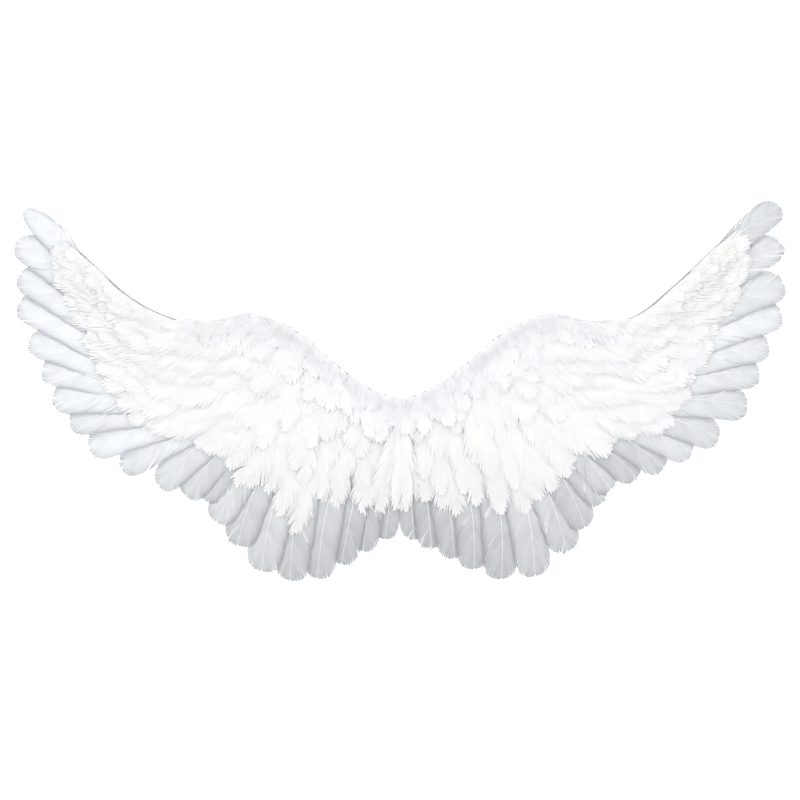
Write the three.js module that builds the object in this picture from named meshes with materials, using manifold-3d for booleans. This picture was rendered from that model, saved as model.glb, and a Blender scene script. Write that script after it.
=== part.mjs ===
// White feather angel wings, worn on the back by two elastic shoulder loops.
// Millimetres, +Z up, X along the span. The feathered face looks along -Y and the wearer stands at +Y.
// The origin is on the rear face of the backing, midway between the wings, where it lies on the back.

import * as THREE from "three";
import { mergeVertices } from "three/addons/utils/BufferGeometryUtils.js";
import Module from "manifold-3d";

const wasm = await Module();
wasm.setup();

// Overall outline
const HALF_SPAN = 500; // centre line to the outermost feather tips
const TIP_RISE = 308; // origin up to the highest feather tip
const LOBE_DROP = 189; // origin down to the lowest feather tips
const SWEEP = 50; // how far the wing tips bend back from the wearer
const FLAT_HALF = 72; // half width of the flat middle that lies on the back
const GAP = 0.4; // clearance between pieces that lie on each other

// Backing of felt, and the wire that edges it
const FELT = 2.5; // thickness of the backing
const WIRE = 2.5; // diameter of the bound wire
const WIRE_SIDES = 6;
const PANEL_STEPS = 18; // columns of the backing on each wing

// Flight feathers
const FLIGHT_HALF_WIDTH = 24; // half width of the widest flight feather
const FLIGHT_THICKNESS = 1.6; // at the shaft
const FLIGHT_TILT = 0.1; // rise across the vane for each mm of width, so that neighbours overlap
const FLIGHT_BEND_RADIUS = 420; // the free end bends towards the wearer
const FLIGHT_SEAT = 55; // length that lies flat on the backing
const FLIGHT_BOW = 4.5; // sideways bow of the shaft

// Covert rows, one above the other
const COVERT_LENGTH = 80; // of the longest coverts
const COVERT_HALF_WIDTH = 19; // half width of the widest coverts
const COVERT_THICKNESS = 1.4; // at the shaft
const COVERT_TILT = 0.08;
const COVERT_BEND_RADIUS = 1600;
const COVERT_SEAT = 30;
const TAPE_THICKNESS = 2.2; // the folded tape that holds the quills of a row
const TAPE_WIDTH = 9;
const TAPE_GRIP = 6; // length of quill inside it

// Trims that lie along the wire as locks, long and short by turns: small feathers on the outer wing
// and down on the shoulder. Each runs between two sections, with its first and last lock shortened.
const LOCK_LENGTH = 50; // of a long lock
const SHORT_LOCK = 0.74; // a short lock's length as a share of a long one's
const END_LOCK = 0.6; // the first and last lock's length as a share of the others'
const LOCK_CREST = 0.6; // where along a lock it stands highest, as a share of its length
const LOCK_CURL = 0.2; // height of a lock's end as a share of its thickness
const BOUND_WIDTH = 12; // of a trim's edge that lies on the backing
const MARGIN = { first: 1.35, last: 3.7, locks: 7, overhang: 0, thickness: 1.8 };
const DOWN = { first: 3.78, last: 9.97, locks: 13, overhang: 3.5, thickness: 5 };

// Shoulder loops of flat elastic
const ELASTIC_WIDTH = 20;
const ELASTIC_THICKNESS = 1.5;
const LOOP_SPACING = 104; // between the middles of the two loops
const LOOP_TOP = 46; // height at which a loop leaves the backing
const LOOP_FOOT = -50; // height at which it comes back
const LOOP_REACH = 96; // how far it stands out towards the wearer
const LOOP_TAB = 16; // length of the end that is sewn flat on the backing
const LOOP_STEPS = 22;

// Course of a loop between its sewn ends, from the upper one down: how far it stands out, as a share of
// LOOP_REACH, and its height above LOOP_FOOT, as a share of the height between the two ends
const LOOP_COURSE = [
  [0.06, 1],
  [0.5, 1.04],
  [0.93, 0.62],
  [1, 0.16],
  [0.8, -0.26],
  [0.4, -0.24],
  [0.06, 0],
];

// Sections through a wing, from its tip to the centre line. All but the flow are shares of HALF_SPAN
// outwards, or of TIP_RISE up and LOBE_DROP down. The flow is where the feathers point, in degrees
// above the outward direction.
const SECTION_COLUMNS = ["edge", "root", "reach", "hem"];
const SECTIONS = [
  // edge wire, quill roots, end of the coverts, hem of the backing, flow
  [0.891, 0.911, 0.817, 0.712, 0.91, 0.86, 0.868, 0.8, 42],
  [0.805, 0.783, 0.771, 0.481, 0.894, 0.694, 0.826, 0.575, 34],
  [0.71, 0.638, 0.723, 0.289, 0.823, 0.438, 0.785, 0.375, 16],
  [0.611, 0.515, 0.658, 0.149, 0.771, 0.226, 0.734, 0.204, 2],
  [0.501, 0.481, 0.532, 0.085, 0.71, 0.072, 0.6, 0.06, -14],
  [0.398, 0.515, 0.422, 0.072, 0.579, 0.0, 0.48, -0.01, -30],
  [0.325, 0.498, 0.367, 0.021, 0.482, -0.118, 0.415, -0.09, -43],
  [0.26, 0.438, 0.336, -0.139, 0.417, -0.326, 0.375, -0.31, -58],
  [0.186, 0.336, 0.239, -0.278, 0.299, -0.569, 0.262, -0.42, -76],
  [0.094, 0.221, 0.094, -0.181, 0.142, -0.486, 0.11, -0.34, -83],
  [0.0, 0.157, 0.013, -0.069, 0.0, -0.479, 0.0, -0.24, -90],
];
const LEFT_LOWER = [13, 14, 12, 0]; // how much lower the left wing lies than the right at its first sections

// Tips of the flight feathers, from the wing tip to the centre line: outward and height shares for the
// right wing and the left, then the width of each as a share of the widest
const FLIGHTS = [
  [0.988, 0.988, 0.99, 0.948, 0.74],
  [0.991, 0.83, 0.999, 0.838, 0.86],
  [0.999, 0.66, 0.993, 0.7, 0.92],
  [0.993, 0.536, 0.996, 0.579, 0.94],
  [0.962, 0.396, 0.97, 0.421, 0.85],
  [0.938, 0.281, 0.938, 0.298, 0.86],
  [0.907, 0.136, 0.91, 0.17, 0.9],
  [0.834, 0.0, 0.868, 0.07, 0.86],
  [0.765, -0.097, 0.818, -0.062, 0.92],
  [0.692, -0.204, 0.734, -0.208, 0.84],
  [0.621, -0.278, 0.637, -0.333, 0.84],
  [0.553, -0.361, 0.566, -0.403, 0.86],
  [0.53, -0.45, 0.518, -0.43, 0.78],
  [0.485, -0.625, 0.485, -0.587, 0.86],
  [0.438, -0.792, 0.43, -0.75, 0.92],
  [0.354, -0.965, 0.367, -0.931, 0.96],
  [0.265, -0.986, 0.291, -0.998, 0.9],
  [0.194, -0.917, 0.22, -0.982, 0.84],
  [0.142, -0.84, 0.157, -0.882, 0.8],
  [0.081, -0.771, 0.1, -0.792, 0.72],
  [0.034, -0.708, 0.042, -0.708, 0.62],
];

// Outlines of the vanes: share of the length from the root, and half width as a share of the widest
const FLIGHT_VANE = [
  [0, 0.1],
  [0.12, 0.2],
  [0.26, 0.6],
  [0.46, 0.9],
  [0.68, 1],
  [0.87, 0.98],
  [0.95, 0.78],
  [0.987, 0.48],
  [1, 0.16],
];
const COVERT_VANE = [
  [0, 0.22],
  [0.34, 0.84],
  [0.72, 1],
  [0.92, 0.68],
  [1, 0.14],
];
const SHORT_VANE = [
  [0, 0.22],
  [0.38, 0.9],
  [0.8, 0.94],
  [1, 0.26],
];

// Covert rows: how far the tips reach from the wire to the covert edge, the length and width of a
// feather as shares of the largest, how many there are, and the sections that they run between. The
// first row lies lowest.
const COVERT_ROWS = [
  { name: "greater_coverts", reach: 1, length: 1, width: 1, count: 17, first: 0.35, last: 9.55 },
  { name: "median_coverts", reach: 0.68, length: 0.925, width: 0.97, count: 15, first: 0.7, last: 9.5 },
  { name: "lesser_coverts", reach: 0.47, length: 0.6, width: 0.9, count: 14, first: 1.2, last: 9.35 },
];
const FAN = { spread: 15, count: 5, length: 1.2, width: 0.68, rootUp: 0.042 }; // on the centre line

const FELT_WHITE = 0xefefec;
const FLIGHT_GREY = 0xdfe6ea;
const COVERT_WHITE = 0xf6f5f4;
const DOWN_WHITE = 0xfbfafa;
const ELASTIC_WHITE = 0xf2f1ee;
const WIRE_GREY = 0xc9c8c6;

const lastSection = SECTIONS.length - 1;

function material(color, roughness, metalness = 0) {
  return new THREE.MeshStandardMaterial({ color, roughness, metalness });
}

// A point in the plane of the wings from its shares
function place(out, up, side) {
  return new THREE.Vector2(side * out * HALF_SPAN, up * (up > 0 ? TIP_RISE : LOBE_DROP));
}

// A point of the wing plane, a given depth in front of the backing, bent back by the sweep
function swept(point, depth) {
  const past = Math.max(0, Math.abs(point.x) - FLAT_HALF) / (HALF_SPAN - FLAT_HALF);
  return new THREE.Vector3(point.x, -FELT - depth - SWEEP * past ** 2, point.y);
}

// One of the four lines along a wing, as a smooth curve through the sections
function lineAlong(column, side) {
  const pair = 2 * SECTION_COLUMNS.indexOf(column);
  const points = SECTIONS.map((row, k) => {
    const p = place(row[pair], row[pair + 1], side);
    const lower = side < 0 ? (LEFT_LOWER[k] ?? 0) : 0;
    return new THREE.Vector3(p.x, p.y - lower, 0);
  });
  const curve = new THREE.CatmullRomCurve3(points, false, "centripetal");
  return (section) => {
    const p = curve.getPoint(section / lastSection);
    return new THREE.Vector2(p.x, p.y);
  };
}

// The direction in which the feathers point at a section
function flowAt(section, side) {
  const k = Math.min(Math.floor(section), lastSection - 1);
  const before = SECTIONS[k].at(-1);
  const after = SECTIONS[k + 1].at(-1);
  const angle = THREE.MathUtils.degToRad(before + (after - before) * (section - k));
  return new THREE.Vector2(side * Math.cos(angle), Math.sin(angle));
}

// A closed mesh from index and position arrays, turned to face outwards
function closed(points, faces) {
  const corner = (i) => points[faces[i]];
  let volume = 0;
  for (let i = 0; i < faces.length; i += 3)
    volume += corner(i).dot(new THREE.Vector3().crossVectors(corner(i + 1), corner(i + 2)));
  if (volume < 0) faces.reverse();
  const geometry = new THREE.BufferGeometry();
  geometry.setAttribute("position", new THREE.Float32BufferAttribute(points.flatMap((p) => p.toArray()), 3));
  geometry.setIndex(faces);
  return geometry;
}

// A skin over rings with the same number of corners, capped at both ends
function loft(rings) {
  const n = rings[0].length;
  const end = (rings.length - 1) * n;
  const faces = [];
  for (let i = 0; i < rings.length - 1; i++)
    for (let j = 0; j < n; j++) {
      const a = i * n + j;
      const b = i * n + ((j + 1) % n);
      faces.push(a, b, b + n, a, b + n, a + n);
    }
  for (let j = 1; j < n - 1; j++) {
    faces.push(0, j + 1, j);
    faces.push(end, end + j, end + j + 1);
  }
  return closed(rings.flat(), faces);
}

// One feather: a thin vane with a ridge along its shaft, tilted so that it overlaps the next one
function feather({ root, tip, half, side, vane, depth, thickness, tilt, seat, bendRadius, bow = 0 }) {
  const length = root.distanceTo(tip);
  const along = tip.clone().sub(root).normalize();
  const across = new THREE.Vector2(-along.y, along.x).multiplyScalar(side);
  const rings = vane.map(([share, width]) => {
    const w = half * width;
    const shaft = root.clone().addScaledVector(along, share * length);
    shaft.addScaledVector(across, bow * Math.sin(Math.PI * share));
    const free = Math.max(0, share * length - seat);
    const base = depth + tilt * w - free ** 2 / (2 * bendRadius);
    return [
      swept(shaft, base + thickness),
      swept(shaft.clone().addScaledVector(across, -w), base + tilt * w),
      swept(shaft, base),
      swept(shaft.clone().addScaledVector(across, w), base - tilt * w),
    ];
  });
  return loft(rings);
}

function solid(geometry) {
  const merged = mergeVertices(geometry);
  return new wasm.Manifold(
    new wasm.Mesh({
      numProp: 3,
      vertProperties: merged.attributes.position.array,
      triVerts: new Uint32Array(merged.index.array),
    }),
  );
}

// Several closed meshes fused into one
function fuse(geometries) {
  const joined = geometries.map(solid).reduce((all, next) => all.add(next));
  const mesh = joined.getMesh();
  const geometry = new THREE.BufferGeometry();
  geometry.setAttribute("position", new THREE.BufferAttribute(mesh.vertProperties, 3));
  geometry.setIndex(new THREE.BufferAttribute(mesh.triVerts, 1));
  return geometry;
}

const wings = new THREE.Group();

function add(name, geometry, look) {
  const mesh = new THREE.Mesh(geometry, look);
  mesh.name = name;
  wings.add(mesh);
}

// Where the leading edge and the hem run on both wings, from the left tip to the right tip
function acrossBothWings(column) {
  const points = [];
  for (let i = -PANEL_STEPS; i <= PANEL_STEPS; i++) {
    const side = Math.sign(i) || 1;
    const section = lastSection * (1 - Math.abs(i) / PANEL_STEPS);
    points.push(lineAlong(column, side)(section));
  }
  return points;
}

const edgePoints = acrossBothWings("edge");
const hemPoints = acrossBothWings("hem");

// Directions square to a line of points, to its left
function normalsOf(points) {
  return points.map((_, i) => {
    const before = points[Math.max(0, i - 1)];
    const after = points[Math.min(points.length - 1, i + 1)];
    const along = after.clone().sub(before).normalize();
    return new THREE.Vector2(-along.y, along.x);
  });
}

const edgeNormals = normalsOf(edgePoints);

// Felt backing: one sheet from wing tip to wing tip, its upper edge seated against the wire
function backing() {
  const inset = WIRE / 2 + GAP;
  const rings = edgePoints.map((edge, i) => {
    const top = edge.clone().addScaledVector(edgeNormals[i], -inset);
    const middle = top.clone().lerp(hemPoints[i], 0.5);
    const profile = [top, middle, hemPoints[i]];
    const front = profile.map((p) => swept(p, 0));
    const rear = profile.map((p) => swept(p, -FELT));
    return [...front, ...rear.reverse()];
  });
  return loft(rings);
}

// Bound wire along the whole leading edge
function frameWire() {
  const rings = edgePoints.map((edge, i) => {
    const ring = [];
    for (let j = 0; j < WIRE_SIDES; j++) {
      const angle = (2 * Math.PI * (j + 0.5)) / WIRE_SIDES;
      const offset = (WIRE / 2) * Math.cos(angle);
      const point = edge.clone().addScaledVector(edgeNormals[i], offset);
      ring.push(swept(point, -FELT / 2 + (WIRE / 2) * Math.sin(angle)));
    }
    return ring;
  });
  return loft(rings);
}

function flightFeather(index, side) {
  const [rightOut, rightUp, leftOut, leftUp, width] = FLIGHTS[index];
  const section = (lastSection * index) / (FLIGHTS.length - 1);
  return feather({
    root: lineAlong("root", side)(section),
    tip: side > 0 ? place(rightOut, rightUp, side) : place(leftOut, leftUp, side),
    half: FLIGHT_HALF_WIDTH * width,
    side,
    vane: FLIGHT_VANE,
    depth: GAP,
    thickness: FLIGHT_THICKNESS,
    tilt: FLIGHT_TILT,
    seat: FLIGHT_SEAT,
    bendRadius: FLIGHT_BEND_RADIUS,
    bow: FLIGHT_BOW,
  });
}

// Depths at which the layers start, each clear of the one beneath
const flightLayer = 2 * FLIGHT_TILT * FLIGHT_HALF_WIDTH + 2.5 * GAP;
const rowLayer = (row) => 2 * COVERT_TILT * COVERT_HALF_WIDTH * row.width + 2 * GAP;
const layerDepth = (layer) => {
  const beneath = COVERT_ROWS.slice(0, layer).map(rowLayer);
  return beneath.reduce((sum, depth) => sum + depth, flightLayer);
};

// The tape that holds a row of quills
function tape(roots, directions, depth) {
  const rear = depth - (TAPE_THICKNESS - COVERT_THICKNESS) / 4;
  const rings = roots.map((root, i) => {
    const high = root.clone().addScaledVector(directions[i], TAPE_GRIP - TAPE_WIDTH);
    const low = root.clone().addScaledVector(directions[i], TAPE_GRIP);
    return [
      swept(high, rear),
      swept(low, rear),
      swept(low, rear + TAPE_THICKNESS),
      swept(high, rear + TAPE_THICKNESS),
    ];
  });
  return loft(rings);
}

function covertRow(row, side) {
  const edge = lineAlong("edge", side);
  const reach = lineAlong("reach", side);
  const layer = COVERT_ROWS.indexOf(row);
  const depth = layerDepth(layer);
  const roots = [];
  const directions = [];
  const vanes = [];
  for (let i = 0; i < row.count; i++) {
    const section = row.first + ((row.last - row.first) * i) / (row.count - 1);
    const tip = edge(section).lerp(reach(section), row.reach);
    const flow = flowAt(section, side);
    const root = tip.clone().addScaledVector(flow, -row.length * COVERT_LENGTH);
    roots.push(root);
    directions.push(flow);
    vanes.push(
      feather({
        root,
        tip,
        half: row.width * COVERT_HALF_WIDTH,
        side,
        vane: layer ? SHORT_VANE : COVERT_VANE,
        depth,
        thickness: COVERT_THICKNESS,
        tilt: COVERT_TILT,
        seat: COVERT_SEAT,
        bendRadius: COVERT_BEND_RADIUS,
      }),
    );
  }
  return fuse([tape(roots, directions, depth), ...vanes]);
}

// A trim of locks along the wire, over the roots of the uppermost covert row
function lockTrim({ first, last, locks, overhang, thickness }, side) {
  const edge = lineAlong("edge", side);
  const front = layerDepth(COVERT_ROWS.length) + GAP;
  const rings = [];
  for (let i = 0; i <= 2 * locks; i++) {
    const section = first + ((last - first) * i) / (2 * locks);
    const fullness = i === 0 || i === 2 * locks ? END_LOCK : 1;
    const flow = flowAt(section, side);
    const reach = LOCK_LENGTH * fullness * (i % 2 ? 1 : SHORT_LOCK);
    const inset = overhang ? 0 : WIRE / 2 + GAP;
    const from = (distance, depth) => swept(edge(section).addScaledVector(flow, distance), depth);
    rings.push([
      from(inset - overhang * fullness, GAP + thickness / 2),
      from(inset, GAP),
      from(BOUND_WIDTH, GAP),
      from(BOUND_WIDTH, front - thickness / 2),
      from(reach * LOCK_CREST, front),
      from(reach, front + thickness * LOCK_CURL),
      from(reach * LOCK_CREST, front + thickness * fullness),
      from(inset, front),
    ]);
  }
  return loft(rings);
}

// Narrow feathers on the centre line, where the rows of both wings meet
function centreFan() {
  const depth = layerDepth(COVERT_ROWS.length);
  const root = place(0, FAN.rootUp, 1);
  const vanes = [];
  for (let i = 0; i < FAN.count; i++) {
    const turn = (i - (FAN.count - 1) / 2) * THREE.MathUtils.degToRad(FAN.spread);
    const along = new THREE.Vector2(Math.sin(turn), -Math.cos(turn));
    vanes.push(
      feather({
        root,
        tip: root.clone().addScaledVector(along, FAN.length * COVERT_LENGTH * Math.cos(turn)),
        half: FAN.width * COVERT_HALF_WIDTH,
        side: 1,
        vane: COVERT_VANE,
        depth,
        thickness: COVERT_THICKNESS,
        tilt: COVERT_TILT,
        seat: COVERT_SEAT,
        bendRadius: COVERT_BEND_RADIUS,
      }),
    );
  }
  return fuse(vanes);
}

// Flat elastic, sewn to the rear of the backing at both ends and standing out for an arm
function shoulderLoop(side) {
  const lie = GAP + ELASTIC_THICKNESS / 2;
  const bulge = LOOP_REACH - ELASTIC_THICKNESS / 2 - lie;
  const drop = LOOP_TOP - LOOP_FOOT;
  const route = new THREE.CatmullRomCurve3(
    [
      [lie, LOOP_TOP - LOOP_TAB],
      [lie, LOOP_TOP - LOOP_TAB / 2],
      ...LOOP_COURSE.map(([out, up]) => [lie + out * bulge, LOOP_FOOT + up * drop]),
      [lie, LOOP_FOOT + LOOP_TAB / 2],
      [lie, LOOP_FOOT + LOOP_TAB],
    ].map(([y, z]) => new THREE.Vector3(0, y, z)),
    false,
    "centripetal",
  );
  const x = (side * LOOP_SPACING) / 2;
  const rings = [];
  for (let i = 0; i <= LOOP_STEPS; i++) {
    const share = i / LOOP_STEPS;
    const point = route.getPointAt(share);
    const along = route.getTangentAt(share);
    const outwards = new THREE.Vector3(0, -along.z, along.y).multiplyScalar(ELASTIC_THICKNESS / 2);
    const corner = (width, thick) =>
      point
        .clone()
        .addScaledVector(outwards, thick)
        .setX(x + (width * ELASTIC_WIDTH) / 2);
    rings.push([corner(-1, -1), corner(1, -1), corner(1, 1), corner(-1, 1)]);
  }
  return loft(rings);
}

add("backing", backing(), material(FELT_WHITE, 0.95));
add("frame_wire", frameWire(), material(WIRE_GREY, 0.7));

for (const [wing, side] of Object.entries({ right: 1, left: -1 })) {
  FLIGHTS.forEach((_, i) => {
    const number = String(i + 1).padStart(2, "0");
    add(`flight_feather_${wing}_${number}`, flightFeather(i, side), material(FLIGHT_GREY, 0.6));
  });
  for (const row of COVERT_ROWS) {
    add(`${row.name}_${wing}`, covertRow(row, side), material(COVERT_WHITE, 0.75));
  }
  add(`marginal_coverts_${wing}`, lockTrim(MARGIN, side), material(COVERT_WHITE, 0.75));
  add(`down_trim_${wing}`, lockTrim(DOWN, side), material(DOWN_WHITE, 0.95));
  add(`shoulder_loop_${wing}`, shoulderLoop(side), material(ELASTIC_WHITE, 0.85));
}
add("centre_fan", centreFan(), material(COVERT_WHITE, 0.75));

export default wings;
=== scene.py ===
"""White feather angel wings with two elastic shoulder loops, dressed for a studio picture."""

import math

import bpy
import numpy as np
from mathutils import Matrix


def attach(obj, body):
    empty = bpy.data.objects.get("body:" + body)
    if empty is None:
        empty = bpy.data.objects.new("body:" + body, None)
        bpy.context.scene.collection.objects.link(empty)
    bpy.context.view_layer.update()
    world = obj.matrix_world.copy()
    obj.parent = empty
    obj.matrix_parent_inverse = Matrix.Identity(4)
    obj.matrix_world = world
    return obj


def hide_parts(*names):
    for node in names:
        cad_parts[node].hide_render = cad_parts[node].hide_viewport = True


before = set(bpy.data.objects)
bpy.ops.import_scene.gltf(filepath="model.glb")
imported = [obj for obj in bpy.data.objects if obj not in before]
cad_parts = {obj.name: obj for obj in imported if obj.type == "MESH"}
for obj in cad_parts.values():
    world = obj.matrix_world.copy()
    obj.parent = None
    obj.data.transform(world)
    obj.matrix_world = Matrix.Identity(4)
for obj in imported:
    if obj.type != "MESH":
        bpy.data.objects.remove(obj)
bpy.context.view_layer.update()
bpy.ops.object.select_all(action="DESELECT")


# Backing: one sheet of white needle felt from wing tip to wing tip, which lies on the wearer's back and
# carries every feather. Its upper edge is sewn round the wire and its hem is cut with scissors. The quills
# of each row are sewn through it, so lines of stitches run along its rear.

HALF_SPAN = 0.5
TIP_RISE = 0.308
LOBE_DROP = 0.189
SWEEP = 0.05
FLAT_HALF = 0.072
CLEARANCE = 0.0004
FELT_THICKNESS = 0.0025
FELT_COLUMNS = 170
FELT_ROWS = 16
SEWN_LINES = [0.045, 0.26, 0.47, 0.68, 0.9]
ROWS_BESIDE = (-0.022, -0.01, 0, 0.01, 0.022)
EDGE_INSET = 0.0016
HEM_ROUGHNESS = 0.00025
WAVE_HEIGHT = 0.00028
PUCKER_DEPTH = 0.0011
PUCKER_WIDTH = 0.011
COLUMNS = ["edge", "root", "reach", "hem"]
SECTIONS = np.array([
    # edge wire, quill roots, end of the coverts, hem of the backing, flow
    [0.891, 0.911, 0.817, 0.712, 0.91, 0.86, 0.868, 0.8, 42],
    [0.805, 0.783, 0.771, 0.481, 0.894, 0.694, 0.826, 0.575, 34],
    [0.71, 0.638, 0.723, 0.289, 0.823, 0.438, 0.785, 0.375, 16],
    [0.611, 0.515, 0.658, 0.149, 0.771, 0.226, 0.734, 0.204, 2],
    [0.501, 0.481, 0.532, 0.085, 0.71, 0.072, 0.6, 0.06, -14],
    [0.398, 0.515, 0.422, 0.072, 0.579, 0.0, 0.48, -0.01, -30],
    [0.325, 0.498, 0.367, 0.021, 0.482, -0.118, 0.415, -0.09, -43],
    [0.26, 0.438, 0.336, -0.139, 0.417, -0.326, 0.375, -0.31, -58],
    [0.186, 0.336, 0.239, -0.278, 0.299, -0.569, 0.262, -0.42, -76],
    [0.094, 0.221, 0.094, -0.181, 0.142, -0.486, 0.11, -0.34, -83],
    [0.0, 0.157, 0.013, -0.069, 0.0, -0.479, 0.0, -0.24, -90],
])
LAST_SECTION = len(SECTIONS) - 1
LEFT_LOWER = [0.013, 0.014, 0.012] + [0] * 8
SIDES = {"right": 1, "left": -1}


def place(out, up, side):
    """A point in the plane of the wings, from its shares of the span and height."""
    return np.array([side * out * HALF_SPAN, up * (TIP_RISE if up > 0 else LOBE_DROP)])


def swept(points, depth):
    """Points of the wing plane, that far in front of the backing's rear face, bent back by the sweep."""
    points = np.asarray(points, float)
    past = np.maximum(0, np.abs(points[..., 0]) - FLAT_HALF) / (HALF_SPAN - FLAT_HALF)
    y = -FELT_THICKNESS - depth - SWEEP * past**2
    return np.stack([points[..., 0], y, points[..., 1]], -1)


def smooth_line(points):
    """A curve through points, read at 0 for the first, 1 for the second and so on."""
    points = np.asarray(points, float)
    padded = np.vstack([2 * points[0] - points[1], points, 2 * points[-1] - points[-2]])

    def gap(a, b):
        return np.maximum(((b - a) ** 2).sum(-1, keepdims=True) ** 0.25, 1e-9)

    def at(t):
        t = np.asarray(t, float)
        k = np.clip(np.floor(t).astype(int), 0, len(points) - 2)
        w = (t - k)[..., None]
        p0, p1, p2, p3 = (padded[k + i] for i in range(4))
        d0, d1, d2 = gap(p0, p1), gap(p1, p2), gap(p2, p3)
        start = ((p1 - p0) / d0 - (p2 - p0) / (d0 + d1) + (p2 - p1) / d1) * d1
        end = ((p2 - p1) / d1 - (p3 - p1) / (d1 + d2) + (p3 - p2) / d2) * d1
        square = 3 * (p2 - p1) - 2 * start - end
        cube = 2 * (p1 - p2) + start + end
        return p1 + start * w + square * w**2 + cube * w**3

    return at


def line_along(column, side):
    """One of the lines that run along a wing, from its tip to the centre line. The left tip hangs lower."""
    pair = 2 * COLUMNS.index(column)
    points = [place(row[pair], row[pair + 1], side) for row in SECTIONS]
    return smooth_line([[x, z - lower * (side < 0)] for (x, z), lower in zip(points, LEFT_LOWER)])


def flow_at(section, side, turn=0.0):
    """The direction in which feathers point at a section, turned by some degrees."""
    angle = np.radians(np.interp(section, np.arange(LAST_SECTION + 1), SECTIONS[:, -1]) + turn)
    return np.array([side * math.cos(angle), math.sin(angle)])


def outward(corners, faces):
    """Faces of a closed form, all turned to face outwards."""
    a, b, c = (corners[faces[:, i]] - corners.mean(0) for i in range(3))
    return faces[:, ::-1] if (a * np.cross(b, c)).sum() < 0 else faces


def joined(name, forms):
    """One mesh from many closed forms. Each is its corners and triangles, with a UV and marks per corner."""
    start = 0
    faces = []
    for form in forms:
        faces.append(form["faces"] + start)
        start += len(form["corners"])
    faces = np.vstack(faces)
    mesh = bpy.data.meshes.new(name)
    mesh.vertices.add(start)
    mesh.vertices.foreach_set("co", np.vstack([f["corners"] for f in forms]).astype(np.float32).ravel())
    mesh.loops.add(faces.size)
    mesh.loops.foreach_set("vertex_index", faces.astype(np.int32).ravel())
    mesh.polygons.add(len(faces))
    mesh.polygons.foreach_set("loop_start", np.arange(0, faces.size, 3, dtype=np.int32))
    mesh.update(calc_edges=True)
    uv = np.vstack([f["uv"] for f in forms])
    corner_uv = uv[faces.ravel()].astype(np.float32).ravel()
    mesh.uv_layers.new(name="along_barbs").data.foreach_set("uv", corner_uv)
    for mark in forms[0]["marks"]:
        values = np.concatenate([np.broadcast_to(f["marks"][mark], len(f["corners"])) for f in forms])
        mesh.attributes.new(mark, "FLOAT", "POINT").data.foreach_set("value", values.astype(np.float32))
    mesh.validate()
    piece = bpy.data.objects.new(name, mesh)
    bpy.context.collection.objects.link(piece)
    return piece


def finished(piece, material, nodes, smooth=40):
    """Smooths a piece, gives it its material and slot, and puts it in its nodes' place on the object."""
    piece.data.materials.clear()
    piece.data.materials.append(material)
    bpy.ops.object.select_all(action="DESELECT")
    piece.select_set(True)
    bpy.context.view_layer.objects.active = piece
    bpy.ops.object.shade_smooth_by_angle(angle=math.radians(smooth))
    piece.select_set(False)
    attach(piece, "root")
    if nodes:
        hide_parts(*nodes)
    return piece


class Shade:
    """A socket of a material's nodes. Python's operators add Math nodes, and node() adds any other."""

    def __init__(self, tree, socket=None):
        self.tree = tree
        self.socket = socket

    def node(self, kind, settings, values, out=0):
        made = self.tree.nodes.new(kind)
        for name, value in settings.items():
            if name == "stops":
                while len(made.color_ramp.elements) < len(value):
                    made.color_ramp.elements.new(0.5)
                for stop, (position, colour) in zip(made.color_ramp.elements, value):
                    stop.position = position
                    stop.color = (*colour, 1)
            else:
                setattr(made, name, value)
        for name, value in values.items():
            if isinstance(value, Shade):
                self.tree.links.new(value.socket, made.inputs[name])
            else:
                made.inputs[name].default_value = value
        return Shade(self.tree, made.outputs[out])

    def maths(self, operation, *values):
        return self.node("ShaderNodeMath", {"operation": operation}, dict(enumerate(values)))

    def clamped(self):
        return self.maths("MAXIMUM", self.maths("MINIMUM", self, 1.0), 0.0)

    def mixed(self, low, high):
        """low where this is 0 and high where it is 1. Both are colours."""
        low, high = ((*c, 1) if isinstance(c, tuple) else c for c in (low, high))
        return self.node("ShaderNodeMix", {"data_type": "RGBA"}, {0: self, 6: low, 7: high}, out=2)

    def noise(self, scale, detail=2.0, roughness=0.5):
        values = {"Vector": self, "Scale": scale, "Detail": detail, "Roughness": roughness}
        return self.node("ShaderNodeTexNoise", {}, values)

    def scaled(self, *factors):
        return self.node("ShaderNodeMapping", {}, {"Vector": self, "Scale": factors})

    def __add__(self, other):
        return self.maths("ADD", self, other)

    def __sub__(self, other):
        return self.maths("SUBTRACT", self, other)

    def __rsub__(self, other):
        return self.maths("SUBTRACT", other, self)

    def __mul__(self, other):
        return self.maths("MULTIPLY", self, other)

    def __pow__(self, other):
        return self.maths("POWER", self, other)

    __radd__ = __add__
    __rmul__ = __mul__


def new_material(name, constants):
    """A material with its shader's constants set, and the tree to build what varies over it."""
    material = bpy.data.materials.new(name)
    material.use_nodes = True
    shader = material.node_tree.nodes["Principled BSDF"]
    for socket, value in constants.items():
        shader.inputs[socket].default_value = value
    return material, shader, Shade(material.node_tree)


def feed(shader, socket, value):
    value.tree.links.new(value.socket, shader.inputs[socket])


def bumped(height, strength, distance):
    return height.node("ShaderNodeBump", {}, {"Height": height, "Strength": strength, "Distance": distance})


def grid_faces(rows, columns):
    """Triangles over a grid of corners, row by row."""
    a = (np.arange(rows - 1)[:, None] * columns + np.arange(columns - 1)).ravel()
    below = a + columns
    return np.vstack([np.stack([a, a + 1, below + 1], 1), np.stack([a, below + 1, below], 1)])


def both_wings(column, count):
    """One of the lines along the wings, from the left tip to the right tip."""
    share = np.linspace(-1, 1, count)
    section = LAST_SECTION * (1 - np.abs(share))
    left, right = line_along(column, -1)(section), line_along(column, 1)(section)
    return np.where(share[:, None] < 0, left, right)


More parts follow.
